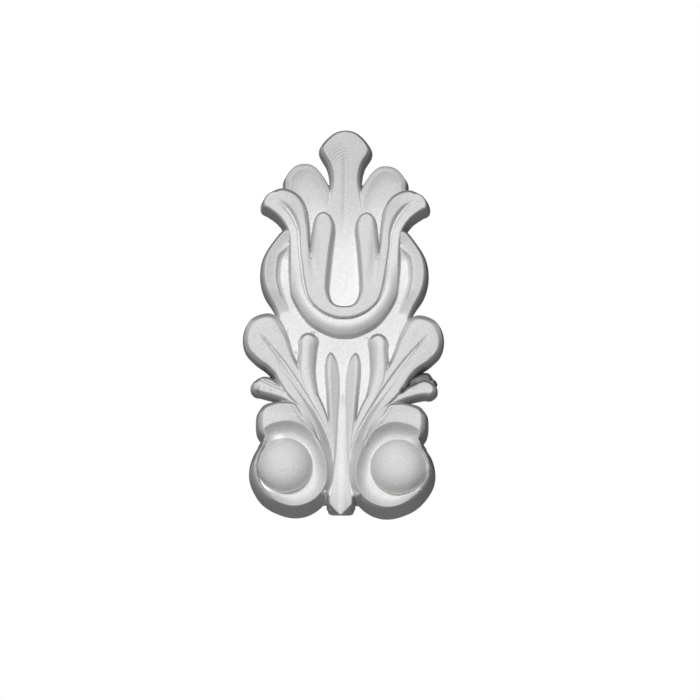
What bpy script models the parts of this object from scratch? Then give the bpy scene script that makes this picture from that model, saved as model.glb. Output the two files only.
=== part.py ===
"""Floral applique: one cast piece with a carved front and a flat back.

Frame: the flat back lies in y = 0 with the middle of its height at the
origin, the carved front faces -Y and +Z is up.  The carving is the same on
both sides of x = 0, so it is described once, on the right half, in
millimetres: u runs sideways from the middle, v upwards, and a height is
measured out from the back.

Each lobe of the carving is an outline, a rule for the height of its top and
a drafted wall around it.  The lobes are laid over each other and the highest
one shows, as when a carver works down from the nearest leaf.
"""
import bmesh
import bpy
import numpy as np
from mathutils import Vector

MM = 0.001

# Driving sizes in millimetres.
HALF_WIDTH = 27.3
REACH_UP = 52.5
GRID_STEP = 0.3
DRAFT = 0.105
FILLET = 0.3
WALL_REACH = 3.0
TRIANGLES = 9500

# Heights of the broad surfaces above the back.
FLOOR = 3.5
TOP_LOBE_HEIGHT = 7.5
EAR_HEIGHT = 7.6
BELLY_HEIGHT = 7.9
PETAL_HEIGHT = 9.4
LEAF_HEIGHT = 6.4
LEAFLET_HEIGHT = 5.6
HOOD_HEIGHT = 10.6
RIM_HEIGHT = 12.2
BOWL_FLOOR = 7.0
BOWL_REACH = 3.2
BOWL_OUTER_REACH = 0.8
STEM_HEIGHT = 8.4
FOOT_HEIGHT = 6.2
FOOT_HALF_WIDTH = 3.3
FOOT_EDGE = -50.1

BALL_AT = (14.6, -38.4)
BALL_RADIUS = 7.1
BALL_FOOT = 8.9
BALL_RISE = 5.6
BALL_FULLNESS = 2.6

# Outlines and lines of the lobes, each a smooth curve through a few points.
# A doubled point is a corner.
FIELD = [(0, 6), (15, 21), (16.4, 4), (16.2, -1.5), (12, -12), (3.6, -34), (2.4, -47)]
TOP_LOBE = [(0, 50.3), (2.9, 49.5), (5.8, 46.4), (6.2, 44.7), (4.2, 41), (3.5, 36.8), (5, 28),
            (5.2, 10), (3, 1), (0, 0)]
EAR = [(15.4, 35.1), (15.4, 36.9), (13.2, 39.8), (10.9, 40.6), (8.9, 40.3), (7, 38.8), (4.6, 34.9),
       (3.6, 29.5), (6.6, 19), (9.5, 16), (15.4, 32)]
BELLY = [(15.8, 22.6), (18.1, 20.2), (20.3, 16.3), (21, 11.5), (20, 7.3), (17.7, 3.1), (16.2, -0.8),
         (14, -1), (12.2, 3), (12.8, 20)]
BELLY_SCOOP = [(15.2, 19.8), (16.8, 17.6), (17.6, 12.6), (17.3, 9.7), (15.2, 3.3), (14.6, 1)]
CUP = [(20.9, 29.8), (19.7, 29.1), (16.6, 26.7), (14.8, 23), (14.2, 9), (13.5, 6.3), (8.7, -0.4),
       (3.4, -3.3), (0, -3.75), (-6.1, -2.1), (-6, 2), (3, 2.4), (9, 9), (10.5, 22), (13.5, 31),
       (16, 33), (18.7, 33.2), (20.4, 32)]
CREASE = [(17.7, 30.6), (15.6, 29.6), (13.3, 26.9), (11.8, 23.4), (11.3, 18.2), (9.6, 7.7), (8.6, 5.2),
          (6.1, 2.5), (2.4, 0.65), (0, 0.4), (-2.4, 0.65), (-4.4, 1.4)]
TONGUE_EDGE = [(-5, 2.8), (-3.1, 4.8), (-1.5, 3.9), (1.5, 3.9), (3.1, 4.8), (4, 6.4), (4.4, 8.2),
               (3.75, 17.7), (3, 24.5), (3.4, 26.3)]
PRONG_TIP = [(4.3, 27.7), (5.7, 28.3), (7.1, 27.5), (7.9, 25.6), (8.65, 16.4), (8.65, 16.4)]
PETAL_EDGE = [(9.1, 18.1), (9.45, 20.2), (9.6, 25.3), (10.4, 29.7), (12.5, 32.8), (15.4, 34.2),
              (17.2, 34.2), (20.3, 32.5), (20.9, 31.3)]
PETAL_TIP = [(20.7, 29.9), (19.2, 30.2), (18.2, 30.6), (18.2, 30.6)]
PRONG_NOTCH = [(9.4, 27), (8.9, 22), (8.3, 13), (7.6, 9.5)]
HEAD_LEAF = [(19.5, 1.8), (23.7, 0.3), (25.4, -3.7), (24.8, -7.6), (22.3, -10.4), (18.8, -13),
             (14.1, -19.1), (10, -23.7), (6, -31), (5.4, -35), (4.8, -40), (4.4, -43), (2.8, -43.5),
             (2.2, -41.7), (2.6, -32), (5.2, -22.4), (12.5, -10), (14.9, -3.5), (17.3, 0.8)]
VEIN = [(22, -3.4), (19.5, -6), (14.2, -12.3), (5.6, -25.9), (3.4, -31), (2.2, -36.4), (2.15, -41.5),
        (3.2, -45)]
SMALL_LOBE = [(11.2, -7.4), (11.2, -5.2), (10.4, -3.8), (9.2, -3.2), (7.9, -3.7), (7, -5.2), (7.2, -13.1),
              (6.1, -18.4), (3.7, -26.5), (2.4, -34), (5.5, -28), (11, -16), (11.5, -12)]
SLENDER = [(3.3, -8.1), (4.25, -10.4), (3.75, -20.4), (2.9, -31), (2.2, -40.5), (1.5, -36), (1, -27),
           (0.8, -13.5), (2.1, -9)]
LEAFLET = [(13, -18.8), (14.7, -18.1), (18.5, -15.8), (21, -15.3), (23.4, -16.8), (23.5, -18.2),
           (22.5, -19), (20.9, -19.2), (13.6, -21.8), (9.5, -28), (6, -34), (6, -30), (10.5, -21.4)]
SCROLL = [(12.5, -22.3), (18.8, -23.1), (20.2, -24.3), (21, -26), (20.8, -29.3), (19.3, -31.2),
          (19.3, -31.2), (21.9, -35.6), (22.6, -40.6), (20.8, -45.9), (18.9, -47.8), (14.2, -49.5),
          (9.4, -49.2), (5.4, -46.5), (3.4, -41.9), (3.8, -36.4), (6, -31.2), (11, -23.5)]
BOWL = [(20.2, -29.4), (18.5, -28), (15.1, -27), (12.6, -27), (9.2, -28.6), (6.3, -32), (4.6, -36),
        (3.8, -40), (4.2, -44), (6.4, -47.2), (9.6, -48.9), (12.6, -49.3), (16, -48.3), (19.6, -45.2),
        (21.5, -41.8), (21.8, -38.2), (20.9, -35.2), (20, -33.2), (20.4, -31.2)]
STEM = [(0, -18), (1.2, -21), (1.6, -30), (1.9, -38), (2.6, -44.5), (2.95, -46.9), (2, -48.6), (0, -50.2)]
FOOT = [(2.8, -44), (3.1, -48.2), (2.5, -49.5), (0, -49.8)]

# Crests with their own heights: (u, v, height).
SMALL_LOBE_CREST = [(9.6, -5, 6.7), (9.5, -12, 6.9), (7.4, -20.5, 6.7), (3.6, -30, 7.2), (2.8, -34, 7.6)]
SLENDER_CREST = [(3.4, -8.4, 5), (3.5, -10.5, 5.7), (2.95, -25.5, 7), (2.2, -37, 8)]

# How the broad surfaces rise and fall along the piece: (v, height).
FIELD_LEVEL = [(-48, 8.2), (-42, 7.3), (-34, 5.6), (-27, 4.4), (-18, 3.8), (-8, FLOOR), (20, FLOOR)]
TONGUE_LEVEL = [(50, 7.2), (44, TOP_LOBE_HEIGHT), (36, 7.3), (31, 6.7), (27, 5.9), (22, 4.7), (18, 4),
                (12, 3.6), (0, FLOOR)]
EAR_LEVEL = [(40, EAR_HEIGHT), (36, 7.1), (32, 6.7), (28, 6.1), (24.5, 5.2), (21, 4.1), (17, FLOOR)]
LIP_LEVEL = [(34, PETAL_HEIGHT), (30.5, 9.3), (28, 8.8), (25, 8.2), (20, 7.6), (10, 7.2), (-4, 7)]
INNER_LEVEL = [(34, PETAL_HEIGHT), (30.5, 9.35), (25, 9), (16, 8.6), (6, 8.3), (0, 8.2)]
TAIL_LEVEL = [(2, LEAF_HEIGHT), (-18, LEAF_HEIGHT), (-26, 6.7), (-32, 7.2), (-40, 7.9), (-46, 8.1)]
SCROLL_LEVEL = [(-52, RIM_HEIGHT), (-36, RIM_HEIGHT), (-33, 11.9), (-30, 11.2), (-27, HOOD_HEIGHT),
                (-22, 10.2)]
STEM_LEVEL = [(-51, 7.6), (-48, 8.2), (-45, STEM_HEIGHT), (-40, 7.7), (-34, 6.7), (-28, 5.6), (-22, 4.6),
              (-18, 4)]

CAST_COLOUR = (0.86, 0.86, 0.85, 1.0)


def smooth_line(points, closed=False, pieces=5):
    """A centripetal Catmull-Rom curve through the points."""
    points = np.array(points, dtype=float)
    if closed:
        padded = np.vstack([points[-1:], points, points[:2]])
    else:
        padded = np.vstack([2 * points[0] - points[1], points, 2 * points[-1] - points[-2]])
    run = np.diff(padded, axis=0)
    knot = (np.hypot(run[:, 0], run[:, 1]) ** 0.5 + 1e-9)[:, None]
    slope = run / knot
    turn = (run[:-1] + run[1:]) / (knot[:-1] + knot[1:])
    leave = knot[1:-1] * (slope[:-2] - turn[:-1] + slope[1:-1])
    arrive = knot[1:-1] * (slope[1:-1] - turn[1:] + slope[2:])
    start, end = padded[1:-2], padded[2:-1]
    steps = []
    for t in np.arange(pieces) / pieces:
        steps.append((1 + 2 * t) * (1 - t) ** 2 * start + t * (1 - t) ** 2 * leave
                     + t ** 2 * (3 - 2 * t) * end - t ** 2 * (1 - t) * arrive)
    line = np.stack(steps, axis=1).reshape(-1, points.shape[1])
    return line if closed else np.vstack([line, points[-1]])


def closed_line(points):
    """The closed curve through the points, with its start repeated at its end."""
    line = smooth_line(points, closed=True)
    return np.vstack([line, line[:1]])


def both_sides(points):
    """A closed outline from its right half, listed from the top down."""
    return points + [(-u, v) for u, v in reversed(points) if u > 0]


def offsets(line, u, v):
    """For each straight bit of a line: its start, its run, the share run along it and the offset from it."""
    for start, end in zip(line[:-1], line[1:]):
        run = (end - start)[:2]
        part = ((u - start[0]) * run[0] + (v - start[1]) * run[1]) / (run @ run + 1e-12)
        part = np.clip(part, 0, 1)
        yield start, run, part, u - start[0] - part * run[0], v - start[1] - part * run[1]


def depth_inside(outline, u, v):
    """Distance to a closed outline's edge, positive inside it."""
    inside = np.zeros(u.shape, dtype=bool)
    nearest = np.full(u.shape, np.inf)
    for start, run, part, off_u, off_v in offsets(closed_line(outline), u, v):
        nearest = np.minimum(nearest, off_u ** 2 + off_v ** 2)
        if run[1] != 0:
            crossed = (start[1] > v) != (start[1] + run[1] > v)
            inside ^= crossed & (u < (v - start[1]) * run[0] / run[1] + start[0])
    return np.where(inside, 1.0, -1.0) * np.sqrt(nearest)


def follow(points, u, v):
    """Distance across a line, positive on its left, the share run along it, and its height there."""
    line = smooth_line(points)
    nearest = np.full(u.shape, np.inf)
    across = np.zeros(u.shape)
    along = np.zeros(u.shape)
    level = np.zeros(u.shape)
    lengths = np.hypot(*(line[1:, :2] - line[:-1, :2]).T)
    passed = np.concatenate([[0], np.cumsum(lengths)]) / lengths.sum()
    for k, (start, run, part, off_u, off_v) in enumerate(offsets(line, u, v)):
        gap = np.hypot(off_u, off_v)
        closer = gap < nearest
        nearest = np.where(closer, gap, nearest)
        across = np.where(closer, np.sign(run[0] * off_v - run[1] * off_u) * gap, across)
        along = np.where(closer, passed[k] + part * (passed[k + 1] - passed[k]), along)
        level = np.where(closer, line[k, -1] + part * (line[k + 1, -1] - line[k, -1]), level)
    return across, along, level


def drawn_onto(outline, u, v, reach):
    """The places, those within reach of an outline moved onto it, so that its edge comes out crisp."""
    nearest = np.full(u.shape, reach)
    drawn_u, drawn_v = u, v
    for start, run, part, off_u, off_v in offsets(closed_line(outline), u, v):
        gap = np.hypot(off_u, off_v)
        closer = gap < nearest
        nearest = np.where(closer, gap, nearest)
        drawn_u = np.where(closer, u - off_u, drawn_u)
        drawn_v = np.where(closer, v - off_v, drawn_v)
    return drawn_u, drawn_v


def ease(value, low, high):
    """0 below low, 1 above high, and a smooth rise between them."""
    t = np.clip((value - low) / (high - low), 0, 1)
    return t * t * (3 - 2 * t)


def ramp(value, stops):
    """A smooth height through (place, height) stops."""
    line = smooth_line(sorted(stops), pieces=8)
    return np.interp(value, line[:, 0], line[:, 1])


def share_out(across, depth):
    """0 on a lobe's middle line and 1 at its edge."""
    return np.abs(across) / (np.abs(across) + np.clip(depth, 0, None) + 1e-6)


def cushion(top, depth, shoulder, grow=0.3):
    """A top surface with a rounded shoulder and a drafted wall below it."""
    depth = depth + grow
    near = np.clip(depth / shoulder, 0, 1)
    rounding = shoulder * (1 - np.sqrt(1 - (1 - near) ** 2))
    return top - rounding + np.minimum(depth, 0) / DRAFT


def lay_over(base, extra, fillet=FILLET):
    """The higher of two surfaces, with a small fillet where they meet."""
    reach = np.clip(fillet - np.abs(base - extra), 0, None) / fillet
    return np.maximum(base, extra) + reach ** 2 * fillet / 4


def cut_into(base, tool, fillet=FILLET):
    """The lower of two surfaces, with a small round where they meet."""
    return -lay_over(-base, -tool, fillet)


def scroll_climb(u, v):
    """The surface that climbs from the leaf's vein to the edge of the scroll's bowl."""
    out = np.clip(follow(VEIN, u, v)[0], 0, None)
    to_bowl = np.clip(-depth_inside(BOWL, u, v), 0, None)
    low = ramp(v, TAIL_LEVEL)
    return low + (ramp(v, SCROLL_LEVEL) - low) * share_out(out, to_bowl) * ease(-v, 17, 25)


def field(u, v):
    """The low ground behind the leaves, which rises towards the stem's foot."""
    return cushion(ramp(v, FIELD_LEVEL), depth_inside(both_sides(FIELD), u, v), 0.3)


def top_lobe(u, v):
    """The knob at the top, whose tongue runs down behind the tulip's prongs."""
    depth = depth_inside(both_sides(TOP_LOBE), u, v)
    top = ramp(v, TONGUE_LEVEL) - 0.25 * share_out(u, depth) ** 2 * ease(v, 28, 36)
    vein = (1 - ease(u, 0.6, 1.05)) * ease(v, 22, 28) * (1 - ease(v, 43.5, 45.5))
    return cushion(top - 0.17 * vein, depth, 0.5)


def ear(u, v):
    """The round lobe behind each petal, dished like a spoon."""
    depth = depth_inside(EAR, u, v)
    rim = np.clip(1 - depth / 3.5, 0, 1) ** 2 * ease(v, 22, 32)
    return cushion(ramp(v, EAR_LEVEL) + 0.45 * rim - 0.25, depth, 0.6)


def belly(u, v):
    """The curved side panel beside the cup, scooped out towards it."""
    across = follow(BELLY_SCOOP, u, v)[0]
    panel = BELLY_HEIGHT - 1.0 * (1 - ease(across, 0, 4)) - 3.6 * (1 - ease(v, -0.5, 8))
    scooped = 6.3 - (6.3 - FLOOR) * ease(-across, 0.1, 1.9)
    top = np.where(across > 0, panel, np.minimum(panel, scooped))
    return cushion(top, depth_inside(BELLY, u, v), 0.55)


def cup_lip(u, v):
    """The tulip's outer strip, from the petal's tip to the roll under the cup."""
    depth = depth_inside(CUP, u, v)
    across, along = follow(CREASE, u, v)[:2]
    roll = np.clip(3.4 - depth, 0, 3.4) ** 2 * (1 - ease(v, 8, 17))
    top = ramp(v, LIP_LEVEL) - 0.19 * roll
    top = top - 0.75 * ease(along, 0, 0.12) * np.clip(1 - np.abs(across) / 0.85, 0, 1)
    return cushion(top, depth, 0.4)


def cup_inner(u, v):
    """The tulip's inner strip and the two prongs beside the tongue."""
    outline = PETAL_TIP + CREASE + TONGUE_EDGE + PRONG_TIP + PETAL_EDGE
    lip = ramp(v, LIP_LEVEL)
    top = lip + (ramp(v, INNER_LEVEL) - lip) * (1 - ease(u, 16, 18.3))
    across = follow(PRONG_NOTCH, u, v)[0]
    lean = np.clip(1 + across / 2.6, 0, 1) * (across < 0) * ease(v, 9.5, 15)
    return cushion(top - 0.9 * lean ** 1.5, depth_inside(outline, u, v), 0.45, grow=0.1)


def head_leaf(u, v, climb):
    """The big leaf, whose lower half sweeps down onto the side of the scroll."""
    depth = depth_inside(HEAD_LEAF, u, v)
    edge = 0.7 * np.clip(1 - depth / 3.2, 0, 1) ** 2 * ease(v, -17, -10)
    brow = np.clip(1 - depth / 1.9, 0, 1) ** 2 * ease(v, -4, 0)
    return cushion(climb - edge - brow, depth, 0.45)


def small_lobe(u, v):
    """The short lobe beside the big leaf, falling away towards the middle."""
    depth = depth_inside(SMALL_LOBE, u, v)
    across, along, crest = follow(SMALL_LOBE_CREST, u, v)
    side = share_out(across, depth)
    fall = np.where(across < 0, 2.0, 0.3) * side ** 2
    return cushion(crest - fall, depth, 0.45)


def slender_leaf(u, v):
    """The slender leaf, a sharp crest with one broad facet towards the middle."""
    across, along, crest = follow(SLENDER_CREST, u, v)
    slope = ramp(v, [(-45, 0.1), (-38, 0.4), (-30, 0.75), (-24, 0.85), (-8, 0.85)])
    top = crest - slope * np.clip(-across - 0.35, 0, None)
    return cushion(top, depth_inside(SLENDER, u, v), 0.25, grow=0.1)


def leaflet(u, v, climb):
    """The leaflet that sticks out between the big leaf and the scroll."""
    top = LEAFLET_HEIGHT + (climb - LEAFLET_HEIGHT) * (1 - ease(u, 9.5, 14.5))
    return cushion(top, depth_inside(LEAFLET, u, v), 0.55)


def scroll(u, v, climb):
    """The scroll's body, from the hood over the bowl to the rim around it."""
    return cushion(climb, depth_inside(SCROLL, u, v), 0.3, grow=0.35)


def bowl(u, v):
    """The hollow of the scroll around the ball, steep on its outer side; it takes nothing off outside."""
    depth = depth_inside(BOWL, u, v)
    rim = ramp(v, SCROLL_LEVEL)
    reach = BOWL_REACH + (BOWL_OUTER_REACH - BOWL_REACH) * ease(u, 16, 20)
    wall = np.sin(np.clip(depth / reach, 0, 1) * np.pi / 2)
    return rim - (rim - BOWL_FLOOR) * wall + np.clip(-depth, 0, None) / DRAFT


def ball(u, v):
    """The ball that sits in the bowl, a little flattened in front."""
    out = np.hypot(u - BALL_AT[0], v - BALL_AT[1])
    dome = BALL_RISE * np.sqrt(1 - np.clip(out / BALL_RADIUS, 0, 1) ** BALL_FULLNESS)
    return BALL_FOOT + dome - np.clip(out - BALL_RADIUS, 0, None) / DRAFT


def stem(u, v):
    """The stem between the scrolls, with the bud at its foot."""
    depth = depth_inside(both_sides(STEM), u, v)
    top = ramp(v, STEM_LEVEL) - 0.35 * share_out(u, depth) ** 2
    return cushion(top, depth, 0.5, grow=0)


def foot(u, v):
    """The small upright foot behind the bud."""
    return cushion(FOOT_HEIGHT, depth_inside(both_sides(FOOT), u, v), 0.4, grow=0)


def vein_cut(u, v):
    """Depth of the vein in the big leaf: a gentle slope on one side, a step on the other."""
    across, along = follow(VEIN, u, v)[:2]
    width = np.interp(along, [0, 0.12, 0.3, 0.7, 1], [0.15, 0.5, 0.95, 0.95, 0.4])
    deep = np.interp(along, [0, 0.05, 0.2, 0.6, 0.72, 0.8], [0, 0.3, 0.5, 0.5, 0.25, 0])
    return deep * np.clip(1 - np.abs(across) / np.where(across > 0, width, 0.2), 0, 1)


def relief(u, v):
    """Height of the carving above the back at each place of the right half."""
    climb = scroll_climb(u, v)
    height = field(u, v)
    for lobe in (top_lobe, ear, belly, cup_lip, cup_inner, slender_leaf, small_lobe, foot, stem):
        height = lay_over(height, lobe(u, v))
    for lobe in (head_leaf, leaflet, scroll):
        height = lay_over(height, lobe(u, v, climb))
    height = cut_into(height, bowl(u, v))
    height = lay_over(height, ball(u, v))
    height = height - vein_cut(u, v)
    upright_foot = (v - FOOT_EDGE) / (DRAFT / 2)
    return np.where(u < FOOT_HALF_WIDTH, np.minimum(height, upright_foot), height)


def lifted_grid():
    """A fine grid over the right half, lifted to the carving and cut off flat at the back."""
    columns = round(HALF_WIDTH / GRID_STEP)
    rows = round(2 * REACH_UP / GRID_STEP)
    mesh = bmesh.new()
    bmesh.ops.create_grid(mesh, x_segments=columns, y_segments=rows, size=0.5)
    places = np.array([vertex.co[:2] for vertex in mesh.verts])
    across = (places[:, 0] + 0.5) * HALF_WIDTH
    up = places[:, 1] * 2 * REACH_UP
    across, up = drawn_onto(BOWL, across, up, GRID_STEP / 2)
    heights = np.clip(relief(across, up), -WALL_REACH, None)
    for vertex, u, v, height in zip(mesh.verts, across, up, heights):
        vertex.co = Vector((u, -height, v)) * MM
    below = WALL_REACH * MM * 0.999
    outside = [face for face in mesh.faces if all(corner.co.y > below for corner in face.verts)]
    bmesh.ops.delete(mesh, geom=outside, context='FACES')
    for face in list(mesh.faces):
        a, b, c, d = face.verts
        if abs(a.co.y - c.co.y) < abs(b.co.y - d.co.y):
            bmesh.utils.face_split(face, a, c)
        else:
            bmesh.utils.face_split(face, b, d)
    bmesh.ops.remove_doubles(mesh, verts=mesh.verts[:], dist=0.01 * MM)
    bmesh.ops.bisect_plane(mesh, geom=mesh.verts[:] + mesh.edges[:] + mesh.faces[:], dist=1e-7,
                           plane_co=(0, 0, 0), plane_no=(0, 1, 0), clear_outer=True)
    return mesh


def cast_piece(collection, material):
    """The whole casting: both halves joined and the flat back closed."""
    mesh = lifted_grid()
    bmesh.ops.mirror(mesh, geom=mesh.verts[:] + mesh.edges[:] + mesh.faces[:], axis='X',
                     merge_dist=0.01 * MM)
    open_edges = [edge for edge in mesh.edges if edge.is_boundary]
    bmesh.ops.holes_fill(mesh, edges=open_edges, sides=0)
    bmesh.ops.triangulate(mesh, faces=mesh.faces[:])
    bmesh.ops.recalc_face_normals(mesh, faces=mesh.faces[:])
    data = bpy.data.meshes.new("floral_applique")
    mesh.to_mesh(data)
    fine_triangles = len(mesh.faces)
    mesh.free()
    data.materials.append(material)
    piece = bpy.data.objects.new("floral_applique", data)
    collection.objects.link(piece)
    thin = piece.modifiers.new("fewer facets", 'DECIMATE')
    thin.ratio = TRIANGLES / fine_triangles
    return piece


def cast_resin():
    """White casting resin, matt as it left the mould."""
    material = bpy.data.materials.new("white resin")
    material.use_nodes = True
    shader = material.node_tree.nodes["Principled BSDF"]
    shader.inputs["Base Color"].default_value = CAST_COLOUR
    shader.inputs["Roughness"].default_value = 0.6
    shader.inputs["Metallic"].default_value = 0.0
    return material


for leftover in list(bpy.data.objects):
    bpy.data.objects.remove(leftover, do_unlink=True)
applique = bpy.data.collections.new("floral applique")
bpy.context.scene.collection.children.link(applique)
cast_piece(applique, cast_resin())
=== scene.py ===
import math

import bmesh
import bpy
import numpy as np
from mathutils import Matrix, Quaternion, Vector


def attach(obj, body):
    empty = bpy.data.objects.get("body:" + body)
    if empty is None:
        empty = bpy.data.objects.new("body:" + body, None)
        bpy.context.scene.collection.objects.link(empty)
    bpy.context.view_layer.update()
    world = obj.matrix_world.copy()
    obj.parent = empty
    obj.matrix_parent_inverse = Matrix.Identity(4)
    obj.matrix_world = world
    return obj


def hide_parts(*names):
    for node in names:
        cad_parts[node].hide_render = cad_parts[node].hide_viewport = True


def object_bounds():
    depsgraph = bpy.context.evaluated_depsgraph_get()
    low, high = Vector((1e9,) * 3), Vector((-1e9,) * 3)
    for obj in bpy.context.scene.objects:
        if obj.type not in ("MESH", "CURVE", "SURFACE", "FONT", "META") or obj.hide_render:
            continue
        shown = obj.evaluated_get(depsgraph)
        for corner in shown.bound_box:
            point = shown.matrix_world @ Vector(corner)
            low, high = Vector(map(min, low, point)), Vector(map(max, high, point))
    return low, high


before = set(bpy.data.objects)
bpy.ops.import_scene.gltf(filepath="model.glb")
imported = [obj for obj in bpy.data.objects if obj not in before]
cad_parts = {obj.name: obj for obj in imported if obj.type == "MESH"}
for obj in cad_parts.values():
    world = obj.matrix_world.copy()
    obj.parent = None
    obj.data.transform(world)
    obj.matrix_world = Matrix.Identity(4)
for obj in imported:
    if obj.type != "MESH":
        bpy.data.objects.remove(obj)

cad_low, cad_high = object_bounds()


# The ground behind the leaves: the lowest level of the one resin casting,
# which a ball cutter left smooth in the pattern.  Heights are in millimetres
# above the flat back: x runs right, u is the distance to the middle, v runs up.
DRAFT = 0.105
FILLET = 0.2
GROUND = [(0, 6), (15, 21), (16.4, 4), (16.2, -1.5), (12, -12), (3.6, -34), (2.4, -47)]
GROUND_LEVEL = [(-48, 8.2), (-42, 7.3), (-34, 5.6), (-27, 4.4), (-18, 3.8), (-8, 3.5), (20, 3.5)]
GROUND_SHOULDER = (0.4, 0.6)
# Painted light: the low ground is coloured lighter than the lobes' tops, for the light that bounces in the
# recesses.
GROUND_TONE = 0.8


def smooth_line(points, closed=False, pieces=6):
    """A centripetal Catmull-Rom curve through the points; a doubled point is a corner."""
    points = np.array(points, dtype=float)
    if closed:
        padded = np.vstack([points[-1:], points, points[:2]])
    else:
        padded = np.vstack([2 * points[0] - points[1], points, 2 * points[-1] - points[-2]])
    run = np.diff(padded, axis=0)
    knot = (np.hypot(run[:, 0], run[:, 1]) ** 0.5 + 1e-9)[:, None]
    slope = run / knot
    turn = (run[:-1] + run[1:]) / (knot[:-1] + knot[1:])
    leave = knot[1:-1] * (slope[:-2] - turn[:-1] + slope[1:-1])
    arrive = knot[1:-1] * (slope[1:-1] - turn[1:] + slope[2:])
    start, end = padded[1:-2], padded[2:-1]
    steps = []
    for t in np.arange(pieces) / pieces:
        steps.append((1 + 2 * t) * (1 - t) ** 2 * start + t * (1 - t) ** 2 * leave
                     + t ** 2 * (3 - 2 * t) * end - t ** 2 * (1 - t) * arrive)
    line = np.stack(steps, axis=1).reshape(-1, points.shape[1])
    return line if closed else np.vstack([line, points[-1]])


def closed_line(points):
    """The smooth closed curve through the points, with its first place again at the end."""
    line = smooth_line(points, closed=True)
    return np.vstack([line, line[:1]])


def both_sides(points):
    """A closed outline from its right half, listed from the top down."""
    return points + [(-u, v) for u, v in reversed(points) if u > 0]


def offsets(line, u, v):
    """For each straight bit of a line: its start, its run, the share run along it and the offset from it."""
    for start, end in zip(line[:-1], line[1:]):
        run = (end - start)[:2]
        part = ((u - start[0]) * run[0] + (v - start[1]) * run[1]) / (run @ run + 1e-12)
        part = np.clip(part, 0, 1)
        yield start, run, part, u - start[0] - part * run[0], v - start[1] - part * run[1]


def depth_inside(outline, u, v):
    """Distance to a closed outline's edge, positive inside it."""
    inside = np.zeros(u.shape, dtype=bool)
    nearest = np.full(u.shape, np.inf)
    for start, run, part, off_u, off_v in offsets(closed_line(outline), u, v):
        nearest = np.minimum(nearest, off_u ** 2 + off_v ** 2)
        if run[1] != 0:
            crossed = (start[1] > v) != (start[1] + run[1] > v)
            inside ^= crossed & (u < (v - start[1]) * run[0] / run[1] + start[0])
    return np.where(inside, 1.0, -1.0) * np.sqrt(nearest)


def follow(points, u, v):
    """Distance across a line, positive on its left, the share run along it, and its height there."""
    line = smooth_line(points)
    nearest = np.full(u.shape, np.inf)
    across = np.zeros(u.shape)
    along = np.zeros(u.shape)
    level = np.zeros(u.shape)
    lengths = np.hypot(*(line[1:, :2] - line[:-1, :2]).T)
    passed = np.concatenate([[0], np.cumsum(lengths)]) / lengths.sum()
    for k, (start, run, part, off_u, off_v) in enumerate(offsets(line, u, v)):
        gap = np.hypot(off_u, off_v)
        closer = gap < nearest
        nearest = np.where(closer, gap, nearest)
        across = np.where(closer, np.sign(run[0] * off_v - run[1] * off_u) * gap, across)
        along = np.where(closer, passed[k] + part * (passed[k + 1] - passed[k]), along)
        level = np.where(closer, line[k, -1] + part * (line[k + 1, -1] - line[k, -1]), level)
    return across, along, level


def ease(value, low, high):
    """0 below low, 1 above high, and a smooth rise between them."""
    t = np.clip((value - low) / (high - low), 0, 1)
    return t * t * (3 - 2 * t)


def ramp(value, stops):
    """A smooth height through (place, height) stops."""
    line = smooth_line(sorted(stops), pieces=10)
    return np.interp(value, line[:, 0], line[:, 1])


def share_out(across, depth):
    """0 on a lobe's middle line and 1 at its edge."""
    return np.abs(across) / (np.abs(across) + np.clip(depth, 0, None) + 1e-6)


def cushion(top, depth, width, fall, grow=0.3, roundness=1.5):
    """A top surface with a rolled shoulder, so wide and so deep, and a drafted wall below it."""
    depth = depth + grow
    near = np.clip(depth / width, 0, 1)
    rolled = fall * (1 - near) ** roundness
    return top - rolled + np.minimum(depth, 0) / DRAFT


def lay_over(base, extra, fillet=FILLET):
    """The higher of two surfaces, with a small fillet where they meet."""
    reach = np.clip(1 - np.abs(base - extra) / fillet, 0, None)
    return np.maximum(base, extra) + reach ** 2 * fillet / 4


def ground(u, v):
    return cushion(ramp(v, GROUND_LEVEL), depth_inside(both_sides(GROUND), u, v), *GROUND_SHOULDER)


# The knob at the top and its tongue, cast in one with the rest, which runs
# down between the cup's prongs.  The cutter left a shallow groove along it.
TOP_LOBE = [(0, 50.3), (2.9, 49.5), (5.8, 46.4), (6.2, 44.7), (4.2, 41), (3.5, 36.8), (5, 28),
            (5.2, 10), (3, 1), (0, 0)]
TONGUE_LEVEL = [(50, 7.2), (44, 7.5), (36, 7.3), (31, 6.7), (27, 5.9), (22, 4.7), (18, 4), (12, 3.6),
                (0, 3.5)]
KNOB_SHOULDER = (0.9, 2.6)
TONGUE_GROOVE_DEPTH = 0.4
TONGUE_GROOVE_HALF_WIDTH = 1.3
# TONGUE_TONE is painted light: the tongue is coloured lighter the deeper it sinks between the prongs.
TONGUE_TONE = [(50, 0.58), (40, 0.6), (34, 0.66), (26, 0.78), (20, 0.86), (14, 0.86), (6, 0.9)]
KNOB_WALL_PAINTED_LIGHT = 0.16


def top_lobe(u, v):
    depth = depth_inside(both_sides(TOP_LOBE), u, v)
    top = ramp(v, TONGUE_LEVEL) - 0.25 * share_out(u, depth) ** 2 * ease(v, 28, 36)
    groove = (1 - ease(u, 0, TONGUE_GROOVE_HALF_WIDTH)) * ease(v, 22, 28) * (1 - ease(v, 41, 46))
    return cushion(top - TONGUE_GROOVE_DEPTH * groove, depth, *KNOB_SHOULDER)


def top_lobe_tone(u, v):
    """Painted light: lighter down the tongue as it sinks into the cup, and on the walls of the knob."""
    wall = 1 - ease(depth_inside(both_sides(TOP_LOBE), u, v), 0, 0.4)
    return ramp(v, TONGUE_TONE) + KNOB_WALL_PAINTED_LIGHT * wall * ease(v, 28, 36)


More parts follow.
